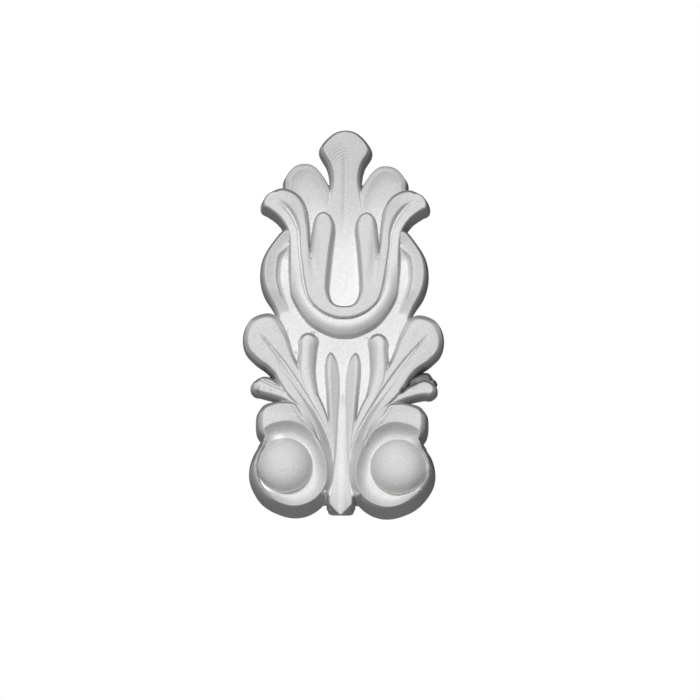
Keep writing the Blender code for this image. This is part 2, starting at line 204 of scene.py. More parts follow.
# The two round lobes behind the petals, part of the casting.  Each was carved
# like a spoon, with a raised rim and a floor that runs down into the cup.
EAR = [(15.4, 35.1), (15.4, 36.9), (13.2, 39.8), (10.9, 40.6), (8.9, 40.3), (7, 38.8), (4.6, 34.9),
       (3.6, 29.5), (6.6, 19), (9.5, 16), (15.4, 32)]
EAR_LEVEL = [(40, 7.6), (36, 7.1), (32, 6.7), (28, 6.1), (24.5, 5.2), (21, 4.1), (17, 3.5)]
EAR_RIM_WIDTH = 4
EAR_RIM_RISE = 1.3
EAR_DISH = 0.6
EAR_SHOULDER = (1.4, 1.9)
# EAR_TONE is painted light and shade: darker near the top of the ear, lighter down its floor towards the
# cup.
EAR_TONE = [(41, 0.68), (38, 0.62), (34, 0.66), (29, 0.78), (25, 0.88), (20, 0.9)]


def ear(u, v):
    depth = depth_inside(EAR, u, v)
    rim = np.clip(1 - depth / EAR_RIM_WIDTH, 0, 1) ** 2 * ease(v, 22, 32)
    top = ramp(v, EAR_LEVEL) + EAR_RIM_RISE * rim - EAR_DISH
    return cushion(top, depth, *EAR_SHOULDER, roundness=1.1)


# The curved panels beside the cup, part of the casting.  Each slopes towards
# the cup and drops into a channel that a round cutter left along it.
BELLY = [(15.0, 23.9), (18.3, 20.6), (20.5, 16.6), (21.05, 11.8), (20, 7.3), (17.7, 3.1), (16.4, -0.6),
         (15.8, -3), (14.6, -3.4), (12.9, 1), (12.2, 4), (12.8, 20)]
BELLY_LEVEL = 7.9
BELLY_SHOULDER = (0.95, 2.4)
BELLY_TONE = 0.67
# The channel's lighter tone is painted light in the recess.
BELLY_CHANNEL_TONE = 0.79
CHANNEL_LEVEL = 6.2
BELLY_SCOOP = [(15.2, 19.8), (16.8, 17.6), (17.6, 12.6), (17.3, 9.7), (15.2, 3.3), (14.6, 1)]


def belly(u, v):
    across = follow(BELLY_SCOOP, u, v)[0]
    panel = BELLY_LEVEL - 1.2 * (1 - ease(across, 0, 4)) - 4.1 * (1 - ease(v, 0, 9))
    scooped = CHANNEL_LEVEL - 1.7 * ease(-across, -0.2, 1.2)
    scooped = scooped - 1.3 * (1 - ease(v, 1, 11)) + 1.8 * ease(v, 16, 20)
    top = np.where(across > 0, panel, np.minimum(panel, scooped))
    return cushion(top, depth_inside(BELLY, u, v), *BELLY_SHOULDER)


def belly_tone(u, v):
    """Painted light: lighter in the channel and towards the foot of the panel."""
    channel = 1 - ease(follow(BELLY_SCOOP, u, v)[0], -0.9, 0)
    lighter = np.maximum(channel, 1 - ease(v, 1.5, 9))
    return BELLY_TONE + (BELLY_CHANNEL_TONE - BELLY_TONE) * lighter


# The tulip-like cup, the highest part of the casting's upper half: an outer
# strip from the petals' tips to a thick roll underneath, a crease cut with a
# fine point, and an inner strip with two prongs beside the tongue.
CUP = [(20.9, 29.8), (19.7, 29.1), (16.6, 26.7), (14.5, 23), (13.9, 9), (13.3, 6.3), (8.7, -0.4),
       (3.4, -3.3), (0, -3.75), (-6.1, -2.1), (-6, 2), (3, 2.4), (9, 9), (10.5, 22), (13.5, 31),
       (16, 33), (18.7, 33.2), (20.4, 32)]
CREASE = [(17.7, 30.6), (15.6, 29.6), (13.3, 26.9), (11.8, 23.4), (11.3, 18.2), (9.6, 7.7), (8.6, 5.2),
          (6.1, 2.7), (2.4, 1.05), (0, 0.8), (-2.4, 1.05), (-4.4, 1.7)]
TONGUE_EDGE = [(-5, 2.8), (-3.1, 4.8), (-1.5, 3.9), (1.5, 3.9), (3.1, 4.8), (4, 6.4), (4.4, 8.2),
               (3.75, 17.7), (3, 24.5), (3.4, 26.3)]
PRONG_TIP = [(4.3, 27.7), (5.7, 28.3), (7.1, 27.5), (7.9, 25.6), (8.65, 16.4), (8.65, 16.4)]
PETAL_EDGE = [(9.1, 18.1), (9.45, 20.2), (9.6, 25.3), (10.4, 29.7), (12.5, 32.8), (15.4, 34.2),
              (17.2, 34.2), (20.3, 32.5), (20.9, 31.3)]
PETAL_TIP = [(20.7, 29.9), (19.2, 30.2), (18.2, 30.6), (18.2, 30.6)]
PRONG_NOTCH = [(9.4, 27), (8.9, 22), (8.3, 13), (7.6, 9.5)]
LIP_LEVEL = [(34, 9.4), (30.5, 9.3), (28, 8.8), (25, 8.2), (20, 7.8), (10, 7.5), (-4, 7.4)]
LIP_SHOULDER = (0.5, 1.2)
LIP_ROLL_WIDTH = 2.7
LIP_ROLL = 0.3
LIP_TONE = 0.79
INNER_TONE = 0.7
INNER_LEVEL = [(34, 9.4), (30.5, 9.35), (25, 9), (16, 8.5), (6, 8.2), (0, 8.1)]


def cup_lip(u, v):
    depth = depth_inside(CUP, u, v)
    across, along = follow(CREASE, u, v)[:2]
    roll = np.clip(LIP_ROLL_WIDTH - depth, 0, LIP_ROLL_WIDTH) ** 2 * (1 - ease(v, 8, 17))
    top = ramp(v, LIP_LEVEL) - LIP_ROLL * roll
    side = ease(v, 3, 8)
    gap = 0.2 + 0.25 * side
    deep = 0.4 + 0.2 * side + 0.3 * ease(v, 22, 28)
    top = top - deep * ease(along, 0, 0.08) * (1 - ease(np.abs(across), gap, gap + 0.35))
    return cushion(top, depth, *LIP_SHOULDER)


def cup_lip_tone(u, v):
    """Painted light and shade: the roll is light along the crease and darker over its outer half, and the
    petals' upper ends and the cup's walls are darker.
    """
    out = np.abs(follow(CREASE, u, v)[0])
    low = 1 - ease(v, 6, 14)
    tone = LIP_TONE + low * (0.07 * (1 - ease(out, 1.2, 2.4)) - 0.12 * ease(out, 1.8, 3.4))
    edge = 1 - ease(depth_inside(CUP, u, v), -0.1, 0.45)
    return tone - 0.09 * ease(v, 27, 32) - (0.08 + 0.18 * ease(v, 0, 6)) * edge * (1 - ease(v, 23, 26))


def cup_inner(u, v):
    outline = PETAL_TIP + CREASE + TONGUE_EDGE + PRONG_TIP + PETAL_EDGE
    lip = ramp(v, LIP_LEVEL)
    top = lip + (ramp(v, INNER_LEVEL) - lip) * (1 - ease(u, 16, 18.3))
    across = follow(PRONG_NOTCH, u, v)[0]
    lean = ease(across, -2.6, -0.3) * (1 - ease(across, -0.3, 1.2)) * ease(v, 7.5, 17)
    outer = ease(u, 4.6, 5.8)
    width = 0.3 + 0.5 * ease(v, 2.4, 3.6) * (1 - outer)
    width = width + 0.5 * ease(v, 11, 15) * outer * (1 - ease(u, 8, 9.5))
    width = width + 0.7 * ease(u, 8.5, 10) * ease(v, 20, 28)
    return cushion(top - 0.8 * lean, depth_inside(outline, u, v), width, 1.7 * width, grow=0.1)


def cup_inner_tone(u, v):
    """Painted shade: darker at the petals and on the walls beside the tongue."""
    beside = 1 - ease(np.abs(follow(TONGUE_EDGE, u, v)[0]), 0.25, 0.7)
    return INNER_TONE - 0.08 * ease(u, 9, 11) * ease(v, 24, 30) - 0.12 * beside


# The slender leaves beside the middle, cast in one with the ground, each a
# sharp crest with one broad facet, and the short lobes next to them, which
# fall away towards the middle.
SLENDER = [(3.3, -8.1), (4.25, -10.4), (3.75, -20.4), (2.9, -31), (2.2, -40.5), (1.5, -36), (1, -27),
           (0.8, -13.5), (2.1, -9)]
SLENDER_CREST = [(3.4, -8.4, 5), (3.5, -10.5, 5.7), (2.95, -25.5, 7), (2.2, -37, 8)]
SLENDER_SHOULDER = (0.75, 1.3)
SLENDER_TONE = 0.69
SMALL_LOBE = [(11.2, -7.4), (11.2, -5.2), (10.4, -3.8), (9.1, -3.2), (7.7, -3.7), (6.7, -5.2), (6.9, -13.1),
              (6.1, -18.4), (3.7, -26.5), (2.4, -34), (5.5, -28), (11, -16), (11.5, -12)]
SMALL_LOBE_CREST = [(9.5, -2, 6.6), (9.6, -5, 6.7), (9.5, -12, 6.9), (7.4, -20.5, 6.7), (3.6, -30, 7.2),
                    (2.8, -34, 7.6)]
SMALL_LOBE_SHOULDER = (1.15, 1.9)
SMALL_LOBE_TONE = 0.76


def slender_leaf(u, v):
    across, _, crest = follow(SLENDER_CREST, u, v)
    slope = ramp(v, [(-45, 0.1), (-38, 0.4), (-30, 0.75), (-24, 0.85), (-8, 0.85)])
    top = crest - slope * np.clip(-across - 0.35, 0, None)
    return cushion(top, depth_inside(SLENDER, u, v), *SLENDER_SHOULDER, grow=0.15)


def small_lobe(u, v):
    depth = depth_inside(SMALL_LOBE, u, v)
    across, _, crest = follow(SMALL_LOBE_CREST, u, v)
    side = share_out(across, depth)
    inner = (1 - ease(across, -0.6, 0.6)) * ease(-v, 3.5, 8)
    fall = (0.3 + 2.2 * inner) * side ** 2
    return cushion(crest - fall, depth, *SMALL_LOBE_SHOULDER)


def small_lobe_tone(u, v):
    """Painted shade: the facet towards the middle is darker than the crest."""
    return SMALL_LOBE_TONE - 0.16 * ease(-follow(SMALL_LOBE_CREST, u, v)[0], 0, 1.9) * ease(-v, 3.5, 7)


# The scrolls at the foot, the thickest part of the casting: a hood over each
# bowl, a rim around it and a large ball inside, all carved in the pattern.
# From the big leaf's vein the surface climbs to the bowl's edge.
SCROLL = [(12.5, -21.8), (19.4, -22.3), (20.9, -24), (21.2, -26), (20.8, -29.3), (19.3, -31.2),
          (19.3, -31.2), (22.1, -35.6), (22.9, -40.6), (20.9, -45.4), (18.4, -47.8), (14, -49.4),
          (9.4, -49.2), (5.4, -46.5), (3.4, -41.9), (3.8, -36.4), (6, -31.2), (11, -23.5)]
SCROLL_LEVEL = [(-52, 12.2), (-36, 12.2), (-33, 11.9), (-30, 11.2), (-27, 10.6), (-22, 10.2)]
BOWL = [(20.2, -29.4), (18.5, -28), (15.1, -27), (12.6, -27), (9.2, -28.6), (6.3, -32), (4.6, -36),
        (3.8, -40), (4.2, -44), (6.4, -47.2), (9.6, -48.9), (12.6, -49.3), (16, -48.3), (19.6, -45.2),
        (21.5, -41.8), (21.8, -38.2), (20.9, -35.2), (20, -33.2), (20.4, -31.2)]
SCROLL_SHOULDER_WIDTH = 0.95
SCROLL_SHOULDER_FALL = 2.6
SCROLL_TONE = 0.72
BOWL_FLOOR = 8.0
BOWL_REACH = 3.2
BOWL_OUTER_REACH = 0.6
HOOD_ROLL = 0.3
# Painted light and shade in the bowl: BOWL_TONE darkens under the hood, and the crescent beside the ball is
# painted near white.
BOWL_TONE = 0.71
CRESCENT_PAINTED_LIGHT = 0.98
BALL_AT = (14.6, -38.4)
BALL_RADIUS = 7.1
BALL_FOOT = 8.3
BALL_RISE = 6.2
BALL_FULLNESS = 2.6
BALL_TONE = 0.69
VEIN = [(22, -3.4), (19.5, -6), (14.2, -12.3), (5.6, -25.9), (3.4, -31), (2.2, -36.4), (2.15, -41.5),
        (3.2, -45)]
TAIL_LEVEL = [(2, 6.4), (-18, 6.4), (-26, 6.7), (-32, 7.2), (-40, 7.9), (-46, 8.1)]


def scroll_climb(u, v):
    out = np.clip(follow(VEIN, u, v)[0], 0, None)
    to_bowl = np.clip(-depth_inside(BOWL, u, v), 0, None)
    low = ramp(v, TAIL_LEVEL)
    return low + (ramp(v, SCROLL_LEVEL) - low) * share_out(out, to_bowl) * ease(-v, 17, 25)


def scroll(u, v, climb):
    outside = np.clip(-depth_inside(BOWL, u, v), 0, None)
    flank = 1.7 * outside * ease(u, 12, 17) * (1 - ease(v, -33.5, -31.5))
    width = SCROLL_SHOULDER_WIDTH + 0.4 * ease(u, 16, 19) * ease(v, -32, -29)
    return cushion(climb - flank, depth_inside(SCROLL, u, v), width, SCROLL_SHOULDER_FALL, grow=0.45)


def bowl(u, v):
    depth = depth_inside(BOWL, u, v)
    rim = ramp(v, SCROLL_LEVEL)
    reach = BOWL_REACH + (BOWL_OUTER_REACH - BOWL_REACH) * ease(u, 16, 20) * (1 - ease(v, -34, -31))
    wall = np.sin(np.clip(depth / reach, 0, 1) * np.pi / 2)
    return rim - (rim - BOWL_FLOOR) * wall + np.clip(-depth, 0, None) / DRAFT


def ball(u, v):
    out = np.hypot(u - BALL_AT[0], v - BALL_AT[1])
    dome = BALL_RISE * np.sqrt(1 - np.clip(out / BALL_RADIUS, 0, 1) ** BALL_FULLNESS)
    return BALL_FOOT + dome - np.clip(out - BALL_RADIUS, 0, None) / DRAFT


def bowl_tones(tone, height, hollow, u, v):
    """The tone with the bowl's: painted shade under its hood, and painted light where the ball leaves a
    crescent.
    """
    inside = BOWL_TONE - 0.18 * ease(v, -34, -28)
    tone = tone + (inside - tone) * ease(height - hollow, -0.2, 0.2)
    crescent = ease(u, 13, 17) * ease(9 - hollow, 0, 0.8) * (1 - ease(v, -42, -39))
    crescent = crescent * ease(depth_inside(BOWL, u, v), 0.1, 0.5)
    return tone + (CRESCENT_PAINTED_LIGHT - tone) * crescent * ease(height - hollow, 0, 0.3)


def cut_into(base, tool, fillet):
    """The lower of two surfaces, with a small round where they meet."""
    return -lay_over(-base, -tool, fillet)


# The big leaves and their veins, part of the casting.  The lower half of each
# sweeps down onto the side of its scroll, and a leaflet sticks out below it:
# grooved on the left, and with a ragged web of flash above it on the right.
HEAD_LEAF = [(19.5, 1.8), (23.7, 0.3), (25.4, -3.7), (24.8, -7.6), (22.3, -10.4), (18.8, -13),
             (14.1, -19.1), (10, -23.7), (6, -31), (5.4, -35), (4.8, -40), (5.6, -45.6), (4, -46.2),
             (2.2, -41.7), (2.6, -32), (5.2, -22.4), (12.5, -10), (14.9, -3.5), (17.3, 0.8)]
LEAFLET_ROOT = [(20.9, -19.2), (13.6, -21.8), (9.5, -28), (6, -34), (6, -30), (10.5, -21.4), (13, -18.8)]
LEFT_LEAFLET = [(15, -17.4), (18.4, -15.1), (20.6, -14.7), (23.1, -16.4), (23.2, -18), (22.4, -18.9)]
RIGHT_LEAFLET = [(14.2, -18.7), (18.6, -15.9), (21.5, -15), (23.7, -16.3), (24, -18), (22.8, -19.2)]
LEAFLET_HEIGHT = 5.6
LEAFLET_GROOVE = [(21, -15.6), (14.2, -18.6)]
LEAFLET_GROOVE_DEPTH = 0.5
LEAFLET_SHOULDER = (1.1, 2.4)
LEAF_TONE = 0.69
LEAFLET_TONE = 0.7
RIGHT_WEB = [(17.2, -15), (19.2, -13.9), (21.3, -13), (22.3, -13.3), (22.7, -14.2), (24, -15.4), (22, -17),
             (18, -17)]
WEB_LEVEL = 3.8
WEB_SHOULDER = (0.8, 1.2)
# The web is coloured dark: painted shadow that the big leaf casts on it.
WEB_PAINTED_SHADOW_TONE = 0.3
FOLDS = [([(19, -9), (16.3, -12.1), (11, -18.8), (6.8, -24.6)], 0.25),
         ([(13.3, -22), (11.5, -23.7), (9.8, -25.8)], 0.22),
         ([(12.8, -22.7), (10.7, -25.8), (9.4, -27.6)], 0.22)]


def head_leaf(u, v, climb):
    depth = depth_inside(HEAD_LEAF, u, v)
    edge = 0.4 * np.clip(1 - depth / 3.2, 0, 1) ** 2 * ease(v, -17, -10)
    width = 0.45 + 0.55 * ease(v, -20, -12) + 0.5 * ease(v, -6, -1)
    fall = 0.9 + 1.3 * ease(v, -20, -12) - 0.5 * ease(v, -6, -1)
    return cushion(climb - edge, depth, width, fall, roundness=1.25)


def leaflet(outline, u, v, climb):
    top = LEAFLET_HEIGHT + (climb - LEAFLET_HEIGHT) * (1 - ease(u, 9.5, 14.5))
    return cushion(top, depth_inside(outline + LEAFLET_ROOT, u, v), *LEAFLET_SHOULDER)


def vein_cut(u, v):
    across, along = follow(VEIN, u, v)[:2]
    width = np.interp(along, [0, 0.12, 0.3, 0.7, 1], [0.2, 0.7, 1.6, 1.5, 0.4])
    deep = np.interp(along, [0, 0.05, 0.2, 0.6, 0.72, 0.8], [0, 0.7, 1.1, 1.1, 0.7, 0])
    return deep * np.clip(1 - np.abs(across) / np.where(across > 0, width, 0.35), 0, 1)


def folds(u, v):
    """Depth of the fine lines that run along the leaf beside its vein."""
    cut = np.zeros(u.shape)
    for line, deep in FOLDS:
        across, along = follow(line, u, v)[:2]
        ends = ease(along, 0, 0.25) * (1 - ease(along, 0.75, 1))
        cut = np.maximum(cut, deep * ends * (1 - ease(np.abs(across), 0, 0.6)))
    return cut


# The stem between the scrolls, part of the casting, which ends in a pointed
# bud that hangs over a small upright foot.
STEM = [(0, -18), (1.2, -21), (1.6, -30), (1.9, -38), (2.7, -44.5), (2.95, -46.5), (2.95, -48.2),
        (2.95, -48.2), (0, -49.6)]
FOOT = [(2.8, -44), (3.2, -48.8), (2.8, -49.6), (0, -49.8)]
FOOT_LEVEL = 6.2
FOOT_SHOULDER = (1.0, 4.0)
FOOT_TONE = 0.69
STEM_LEVEL = [(-51, 7.6), (-48, 8.2), (-45, 8.4), (-40, 7.7), (-34, 6.7), (-28, 5.6), (-22, 4.6), (-18, 4)]
STEM_TONE = 0.69
STEM_RIDGE_PAINTED_HIGHLIGHT = 0.09
FOOT_HALF_WIDTH = 3.3
FOOT_EDGE = -50.1


def stem(u, v):
    depth = depth_inside(both_sides(STEM), u, v)
    top = ramp(v, STEM_LEVEL) - 0.3 * share_out(u, depth) ** 2
    bud = ease(-v, 44, 47)
    return cushion(top, depth, 0.6 - 0.3 * bud, 1.0 - 0.6 * bud, grow=0)


def foot(u, v):
    return cushion(FOOT_LEVEL, depth_inside(both_sides(FOOT), u, v), *FOOT_SHOULDER, grow=0)


# What the cutter and the mould left on the resin: rings and arcs of the
# tool's path, pits from trapped air and beads where air sat in the mould.
# Then the painted light and shade: painted shadow in the gaps beside the
# leaflets, painted highlights on a few beads, a painted pool of light in
# the left bowl and painted shade on the upper edges.
UPPER_EDGE_SHADE = 0.6
RINGS = [(-20.8, -7.3, 0.75), (21, -7.7, 0.8), (21, -7.7, 1.5),
         (21, -7.7, 2.2), (-14.9, -39.3, 1.75), (-10.7, -40.1, 1.2)]
PITS = [(-22.9, -4.4, 0.3, 0.3), (18.9, -3.8, 0.2, 0.2), (-15.7, -38.3, 0.45, 0.12),
        (-18.6, -18.3, 0.35, 0.35), (-22, -15.5, 0.4, 0.3), (-21.7, -17.6, 0.5, 0.35),
        (2.6, -44.7, 0.3, 0.25), (3.6, -46.2, 0.35, 0.3)]
BEADS = [(-3.75, -45.4, 0.5, 1.4), (-3.6, -46.9, 0.6, 1.8), (-12.3, -7.9, 0.5, 0.5),
         (11.4, -10.2, 0.5, 0.4), (-8.2, -2.6, 0.5, 0.5), (-7.6, -2.7, 0.4, 0.4),
         (5.9, -3.7, 0.5, 0.3), (-22.8, -16.5, 0.7, 0.4), (-23, -18.1, 0.6, 0.35),
         (22.9, -14.3, 0.6, 2.0), (23.7, -15, 0.5, 1.5), (-12.4, 23.8, 0.35, 0.5)]
# Painted shadow where the share is positive; painted light where it is negative, on beads and in the left
# bowl.
PAINTED_SHADE_AND_LIGHT_SPOTS = [(-20.6, -12.9, 1.6, 0.45), (-18.4, -14.2, 1.2, 0.5), (21.3, -13.6, 2.2, 0.6),
          (18.2, -15.6, 1.6, 0.65), (-22, -18.3, 0.7, 0.6), (15.5, -17.9, 0.9, 0.6),
          (-3.75, -45.4, 0.4, -1), (-3.6, -46.9, 0.6, -1), (-23, -16.4, 0.7, -0.3),
          (-16, -31.2, 1.5, -0.35)]
RING_DEPTH = 0.06
ARC_PITCH = 0.85
KNOB_ARCS = 0.11
CUP_ARCS = 0.035
NECK_ARCS = 0.03


def spot(x, v, at_x, at_v, radius):
    """1 at a place and fading to 0 at a radius from it."""
    return 1 - ease(np.hypot(x - at_x, v - at_v), 0, radius)


def marks(x, v):
    """Height that the tool marks, pits and beads add."""
    added = np.zeros(x.shape)
    for at_x, at_v, radius in RINGS:
        added -= RING_DEPTH * (1 - ease(np.abs(np.hypot(x - at_x, v - at_v) - radius), 0, 0.3))
    for at_x, at_v, radius, deep in PITS:
        added -= deep * spot(x, v, at_x, at_v, radius)
    for at_x, at_v, radius, high in BEADS:
        added += high * spot(x, v, at_x, at_v, radius * 1.3)
    turn = 2 * np.pi / ARC_PITCH
    on_knob = KNOB_ARCS * np.sin(turn * np.hypot(x - 1.1, v - 39.6)) * spot(x, v, -2.6, 44.3, 4.5)
    on_cup = CUP_ARCS * np.sin(turn * np.hypot(x, v - 8)) * spot(x, v, 6, 6.5, 5)
    on_neck = NECK_ARCS * np.sin(turn * (0.7 * v + 0.7 * np.abs(x))) * spot(x, v, 0, 31, 8)
    return added + on_knob + on_cup + on_neck


def with_painted_spots(tone, x, v):
    """The tone with painted shadow in the gaps beside the leaflets, painted highlights on a few beads and a
    painted pool of light in the left bowl.
    """
    for at_x, at_v, radius, share in PAINTED_SHADE_AND_LIGHT_SPOTS:
        tone = tone * (1 - share * spot(x, v, at_x, at_v, 1.5 * radius))
    return tone


# The casting itself: white resin poured into a mould of the carving and wiped
# flat at the back.  All the lobes are laid over each other on a fine grid,
# which is lifted to their height, closed at the back and thinned.
GRID_STEP = 0.125
MM = 0.001
MOST_FACES = 190000
BACK_TONE = 0.8


def laid(height, tone, lobe, lobe_tone):
    """A lobe laid over what is there, and its tone, the painted light and shade in its colour."""
    share = ease(lobe - height, -0.12, 0.12)
    return lay_over(height, lobe), tone + (lobe_tone - tone) * share


def carving(u, v):
    """Height of the right half above the back without its leaflet, its tone, and the climb to the scroll."""
    climb = scroll_climb(u, v)
    height, tone = ground(u, v), np.full(u.shape, GROUND_TONE)
    # A painted highlight: a lighter strip down the middle of the stem.
    ridge = (1 - ease(u, 0.3, 1.1)) * (1 - ease(v, -24, -20))
    lobes = ((top_lobe(u, v), top_lobe_tone(u, v)),
             (ear(u, v), ramp(v, EAR_TONE)),
             (belly(u, v), belly_tone(u, v)),
             (cup_lip(u, v), cup_lip_tone(u, v)),
             (cup_inner(u, v), cup_inner_tone(u, v)),
             (slender_leaf(u, v), SLENDER_TONE),
             (small_lobe(u, v), small_lobe_tone(u, v)),
             (foot(u, v), FOOT_TONE),
             (stem(u, v), STEM_TONE + STEM_RIDGE_PAINTED_HIGHLIGHT * ridge),
             (head_leaf(u, v, climb), LEAF_TONE),
             (scroll(u, v, climb), SCROLL_TONE))
    for lobe, lobe_tone in lobes:
        height, tone = laid(height, tone, lobe, lobe_tone)
    hollow = bowl(u, v)
    tone = bowl_tones(tone, height, hollow, u, v)
    height = cut_into(height, hollow, FILLET + HOOD_ROLL * ease(v, -36, -29))
    # The ball's lower part is painted a little lighter: painted light that softens its shading.
    height, tone = laid(height, tone, ball(u, v), BALL_TONE + 0.04 * (1 - ease(v, -43, -36)))
    height = height - vein_cut(u, v) - folds(u, v)
    upright_foot = (v - FOOT_EDGE) / (DRAFT / 2)
    height = np.where(u < FOOT_HALF_WIDTH, np.minimum(height, upright_foot), height)
    outside_bowl = 1 - ease(depth_inside(BOWL, u, v), -0.1, 0.3)
    return height, tone, outside_bowl, climb


def grid_places():
    """Even grid places over the CAD box, as two arrays of rows along x and up v."""
    half_width = cad_high.x / MM
    columns = math.ceil(half_width / GRID_STEP) + 1
    x = np.arange(-columns, columns + 1) * GRID_STEP
    v = np.arange(cad_low.z / MM - GRID_STEP, cad_high.z / MM + 2 * GRID_STEP, GRID_STEP)
    return np.meshgrid(x, v)


def cast_front():
    """The carved front, its rim drawn to the back plane, and the grid's outward directions and tone."""
    x, v = grid_places()
    middle = x.shape[1] // 2
    right_x, right_v = x[:, middle:], v[:, middle:]
    half = carving(right_x, right_v)
    sides = []
    for outline in (LEFT_LEAFLET, RIGHT_LEAFLET):
        height, tone, outside_bowl, climb = half
        if outline is RIGHT_LEAFLET:
            web = cushion(WEB_LEVEL, depth_inside(RIGHT_WEB, right_x, right_v), *WEB_SHOULDER)
            # Painted shadow: the web is coloured dark under the big leaf.
            height, tone = laid(height, tone, web, WEB_PAINTED_SHADOW_TONE)
        arm = leaflet(outline, right_x, right_v, climb)
        if outline is LEFT_LEAFLET:
            off_groove = ease(np.abs(follow(LEAFLET_GROOVE, right_x, right_v)[0]), 0.1, 0.5)
            arm = arm - LEAFLET_GROOVE_DEPTH * (1 - off_groove)
        sides.append((*laid(height, tone, arm, LEAFLET_TONE), outside_bowl))
    height, tone, outside_bowl = [np.hstack([left[:, :0:-1], right]) for left, right in zip(*sides)]
    height = height + marks(x, v) + grain(height.shape)
    rise_v, rise_x = np.gradient(height, GRID_STEP)
    outward = np.stack([-rise_x, np.full(x.shape, -1.0), -rise_v], axis=-1)
    steep = np.hypot(rise_x, rise_v) + 1e-9
    # Painted shade on the surfaces that turn upwards outside the bowls, and the painted spots of shadow and
    # light.
    tone = with_painted_spots(tone, x, v) * (1 - UPPER_EDGE_SHADE * outside_bowl * ease(-rise_v, 0.4, 1.6))
    touching = height > 0
    corners = [touching[:-1, :-1], touching[:-1, 1:], touching[1:, 1:], touching[1:, :-1]]
    kept = np.any(corners, axis=0)
    below = ~touching
    step_in = np.where(below, np.clip(-height * DRAFT, 0, GRID_STEP), 0)
    x = x + rise_x / steep * step_in
    v = v + rise_v / steep * step_in
    height = np.clip(height, 0, None)
    number = np.arange(x.size).reshape(x.shape)
    faces = np.stack([number[:-1, :-1], number[:-1, 1:], number[1:, 1:], number[1:, :-1]], axis=-1)[kept]
    used, faces = np.unique(faces, return_inverse=True)
    places = np.stack([x, -height, v], axis=-1).reshape(-1, 3)[used] * MM
    return places, faces.reshape(-1, 4), outward, tone


def spread(values, reach):
    """A running mean over a square window, along both directions of a grid."""
    count = 2 * round(reach / GRID_STEP) + 1
    for axis in (0, 1):
        padding = [(0, 0), (0, 0)]
        padding[axis] = (count // 2 + 1, count // 2)
        total = np.cumsum(np.pad(values, padding), axis=axis)
        ahead = np.take(total, range(count, total.shape[axis]), axis=axis)
        behind = np.take(total, range(total.shape[axis] - count), axis=axis)
        values = (ahead - behind) / count
    return values


GRAIN_DEPTH = 0.012
GRAIN_SIZE = 0.3


def grain(shape):
    """The fine unevenness that the casting took over from the carved and sanded pattern."""
    rough = np.random.default_rng(5).normal(size=shape)
    rough = spread(spread(rough, GRAIN_SIZE / 2), GRAIN_SIZE / 2)
    return GRAIN_DEPTH * rough / rough.std()


def closed_mesh(places, faces):
    """A mesh of the front, closed by a flat back."""
    data = bpy.data.meshes.new("casting")
    data.from_pydata(places.tolist(), [], faces.tolist())
    mesh = bmesh.new()
    mesh.from_mesh(data)
    open_edges = [edge for edge in mesh.edges if edge.is_boundary]
    back = bmesh.ops.holes_fill(mesh, edges=open_edges, sides=0)["faces"]
    back = bmesh.ops.triangulate(mesh, faces=back)["faces"]
    mesh.normal_update()
    bmesh.ops.reverse_faces(mesh, faces=[face for face in back if face.normal.y < 0])
    mesh.to_mesh(data)
    mesh.free()
    return data


def at_places(grid, x, v):
    """Values of a grid at places between its own, along x and up v in millimetres."""
    grid_x, grid_v = grid_places()
    across = np.clip((x - grid_x[0, 0]) / GRID_STEP, 0, grid_x.shape[1] - 1.001)
    up = np.clip((v - grid_v[0, 0]) / GRID_STEP, 0, grid_x.shape[0] - 1.001)
    i, j = up.astype(int), across.astype(int)
    s, t = (up - i), (across - j)
    if grid.ndim == 3:
        s, t = s[:, None], t[:, None]
    low = grid[i, j] * (1 - t) + grid[i, j + 1] * t
    high = grid[i + 1, j] * (1 - t) + grid[i + 1, j + 1] * t
    return low * (1 - s) + high * s


LEFT_EAR_RISE = 0.35
KNOB_SHIFT = 0.15
RIGHT_SCROLL_SHIFT = 0.4
BUD_LEAN = 1.6
BUD_HALF_WIDTH = 3


def finish_surface(data, outward, tone):
    """The carving's own slopes and its tone, which holds painted light and shade, on the mesh, then the few
    places that aren't even on both sides.
    """
    data.shade_smooth()
    places = np.empty(len(data.vertices) * 3)
    data.vertices.foreach_get("co", places)
    places = places.reshape(-1, 3) / MM
    normals = at_places(outward, places[:, 0], places[:, 2])
    normals /= np.linalg.norm(normals, axis=1)[:, None]
    corner = np.empty(len(data.loops), dtype=int)
    data.loops.foreach_get("vertex_index", corner)
    by_corner = normals[corner]
    facing = np.empty(len(data.polygons) * 3)
    data.polygons.foreach_get("normal", facing)
    corners = np.empty(len(data.polygons), dtype=int)
    data.polygons.foreach_get("loop_total", corners)
    facing = np.repeat(facing.reshape(-1, 3), corners, axis=0)
    flat_back = facing[:, 1] > 0.9
    by_corner[flat_back] = (0, 1, 0)
    data.normals_split_custom_set(by_corner.tolist())
    tones = at_places(tone, places[:, 0], places[:, 2])[corner]
    tones[flat_back] = BACK_TONE
    lightness = data.attributes.new("tone", 'FLOAT', 'CORNER')
    lightness.data.foreach_set("value", tones)
    x, depth, v = places.T
    lean = BUD_LEAN * np.clip(1 - np.abs(x) / BUD_HALF_WIDTH, 0, 1) * ease(-depth, 6.2, 7.3)
    v -= lean * (1 - ease(v, -49.5, -46.5))
    v += LEFT_EAR_RISE * ease(-x, 4, 8) * ease(v, 32, 40)
    x -= KNOB_SHIFT * ease(v, 36, 46)
    x += RIGHT_SCROLL_SHIFT * ease(x, 4, 18) * ease(-v, 29, 36) * (1 - ease(-v, 42, 48))
    data.vertices.foreach_set("co", places.ravel() * MM)


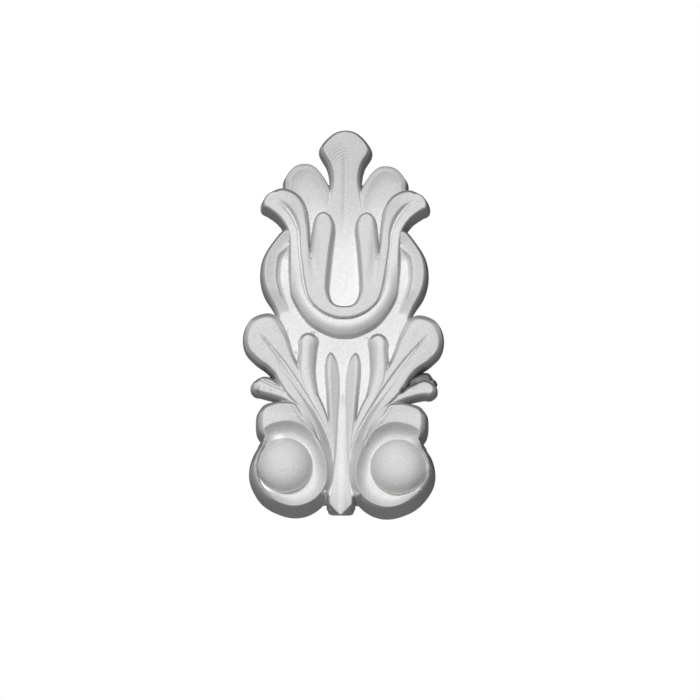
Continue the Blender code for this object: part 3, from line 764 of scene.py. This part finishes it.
places, faces, outward, tone = cast_front()
casting = bpy.data.objects.new("casting", closed_mesh(places, faces))
bpy.context.collection.objects.link(casting)
thin = casting.modifiers.new("fewer facets", 'DECIMATE')
thin.ratio = min(1.0, MOST_FACES / (2 * len(casting.data.polygons)))
finished = bpy.data.meshes.new_from_object(casting.evaluated_get(bpy.context.evaluated_depsgraph_get()))
casting.modifiers.clear()
casting.data = finished
finish_surface(finished, outward, tone)


RESIN_ROUGHNESS = 0.6
RESIN_GRAIN_SCALE = 2400
RESIN_SPECKLE = (0.92, 1.08)
RESIN_TINT = (1, 1, 0.992, 1)


def cast_resin():
    """Matt white casting resin: the tone's painted light and shade, with a fine speckle and grain."""
    material = bpy.data.materials.new("cast white resin")
    material.use_nodes = True
    nodes, links = material.node_tree.nodes, material.node_tree.links
    shader = nodes["Principled BSDF"]
    shader.inputs["Roughness"].default_value = RESIN_ROUGHNESS
    place = nodes.new("ShaderNodeTexCoord")
    noise = nodes.new("ShaderNodeTexNoise")
    noise.inputs["Scale"].default_value = RESIN_GRAIN_SCALE
    links.new(place.outputs["Object"], noise.inputs["Vector"])
    bump = nodes.new("ShaderNodeBump")
    bump.inputs["Strength"].default_value = 0.15
    bump.inputs["Distance"].default_value = 0.0001
    links.new(noise.outputs["Fac"], bump.inputs["Height"])
    links.new(bump.outputs["Normal"], shader.inputs["Normal"])
    lightness = nodes.new("ShaderNodeAttribute")
    lightness.attribute_name = "tone"
    speckle = nodes.new("ShaderNodeMapRange")
    speckle.inputs["From Min"].default_value = 0.3
    speckle.inputs["From Max"].default_value = 0.7
    speckle.inputs["To Min"].default_value = RESIN_SPECKLE[0]
    speckle.inputs["To Max"].default_value = RESIN_SPECKLE[1]
    links.new(noise.outputs["Fac"], speckle.inputs["Value"])
    level = nodes.new("ShaderNodeMath")
    level.operation = 'MULTIPLY'
    links.new(lightness.outputs["Fac"], level.inputs[0])
    links.new(speckle.outputs["Result"], level.inputs[1])
    tint = nodes.new("ShaderNodeMix")
    tint.data_type = 'RGBA'
    tint.inputs["A"].default_value = (0, 0, 0, 1)
    tint.inputs["B"].default_value = RESIN_TINT
    links.new(level.outputs["Value"], tint.inputs["Factor"])
    links.new(tint.outputs["Result"], shader.inputs["Base Color"])
    return material


finished.materials.clear()
finished.materials.append(cast_resin())
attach(casting, "root")
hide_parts("floral_applique")


# The studio: a pale floor well below, a white surround, and a soft lamp in
# front, a little above and to the left.
FLOOR_LEVEL = -0.45
FLOOR_HALF_SIZE = 4
FLOOR_COLOUR = (0.8, 0.8, 0.8, 1)
SURROUND_STRENGTH = 0.1


def studio_floor():
    """A plain pale sheet, which stays out of the main view."""
    mesh = bmesh.new()
    bmesh.ops.create_grid(mesh, x_segments=1, y_segments=1, size=FLOOR_HALF_SIZE)
    data = bpy.data.meshes.new("floor")
    mesh.to_mesh(data)
    mesh.free()
    data.transform(Matrix.Translation((0, 0, FLOOR_LEVEL)))
    floor = bpy.data.objects.new("floor", data)
    bpy.context.collection.objects.link(floor)
    material = bpy.data.materials.new("pale floor")
    material.use_nodes = True
    shader = material.node_tree.nodes["Principled BSDF"]
    shader.inputs["Base Color"].default_value = FLOOR_COLOUR
    shader.inputs["Roughness"].default_value = 0.8
    data.materials.append(material)


studio_floor()

world = bpy.data.worlds.new("studio")
bpy.context.scene.world = world
world.use_nodes = True
nodes, links = world.node_tree.nodes, world.node_tree.links
surround = nodes["Background"]
surround.inputs["Color"].default_value = (1, 1, 1, 1)
surround.inputs["Strength"].default_value = SURROUND_STRENGTH
white = nodes.new("ShaderNodeBackground")
white.inputs["Color"].default_value = (1, 1, 1, 1)
white.inputs["Strength"].default_value = 1.0
seen = nodes.new("ShaderNodeLightPath")
mix = nodes.new("ShaderNodeMixShader")
links.new(seen.outputs["Is Camera Ray"], mix.inputs["Fac"])
links.new(surround.outputs["Background"], mix.inputs[1])
links.new(white.outputs["Background"], mix.inputs[2])
links.new(mix.outputs["Shader"], nodes["World Output"].inputs["Surface"])


def direction(azimuth, elevation):
    """From the piece towards a place around it: azimuth 0 is in front, and positive to the right."""
    side, up = math.radians(azimuth), math.radians(elevation)
    return Vector((math.sin(side) * math.cos(up), -math.cos(side) * math.cos(up), math.sin(up)))


LAMP_AZIMUTH = -8
LAMP_ELEVATION = 16
LAMP_DISTANCE = 1.6
LAMP_SIZE = 0.5
LAMP_POWER = 2.5
LAMP_SPREAD = 60

light = bpy.data.lights.new("front lamp", 'AREA')
light.shape = 'DISK'
light.size = LAMP_SIZE
light.energy = LAMP_POWER
light.spread = math.radians(LAMP_SPREAD)
lamp = bpy.data.objects.new("front lamp", light)
bpy.context.collection.objects.link(lamp)
away = direction(LAMP_AZIMUTH, LAMP_ELEVATION)
lamp.location = away * LAMP_DISTANCE
lamp.rotation_euler = away.to_track_quat('Z', 'Y').to_euler()


# The camera: a long lens nearly straight in front and a little below, turned
# slightly.  Distances are in metres and angles in degrees.
VIEW_BELOW = 9.5
VIEW_ASIDE = 0.5
VIEW_ROLL = 0.85
VIEW_DISTANCE = 2.2
FRAME_WIDTH = 0.1818
ORIGIN_LEFT_OF_MIDDLE = 0.00164
ORIGIN_ABOVE_MIDDLE = 0.00649
SENSOR_WIDTH = 36

camera_data = bpy.data.cameras.new("camera")
camera_data.sensor_width = SENSOR_WIDTH
camera_data.lens = SENSOR_WIDTH * VIEW_DISTANCE / FRAME_WIDTH
camera = bpy.data.objects.new("camera", camera_data)
bpy.context.collection.objects.link(camera)
away = direction(VIEW_ASIDE, -VIEW_BELOW)
turn = away.to_track_quat('Z', 'Y')
turn = turn @ Quaternion((0, 0, 1), math.radians(VIEW_ROLL))
right = turn @ Vector((1, 0, 0))
up = turn @ Vector((0, 1, 0))
camera.rotation_mode = 'QUATERNION'
camera.rotation_quaternion = turn
camera.location = away * VIEW_DISTANCE + right * ORIGIN_LEFT_OF_MIDDLE - up * ORIGIN_ABOVE_MIDDLE
camera_data.clip_start = 0.05
camera_data.clip_end = 50
bpy.context.scene.camera = camera
bpy.context.scene.view_settings.view_transform = 'Standard'
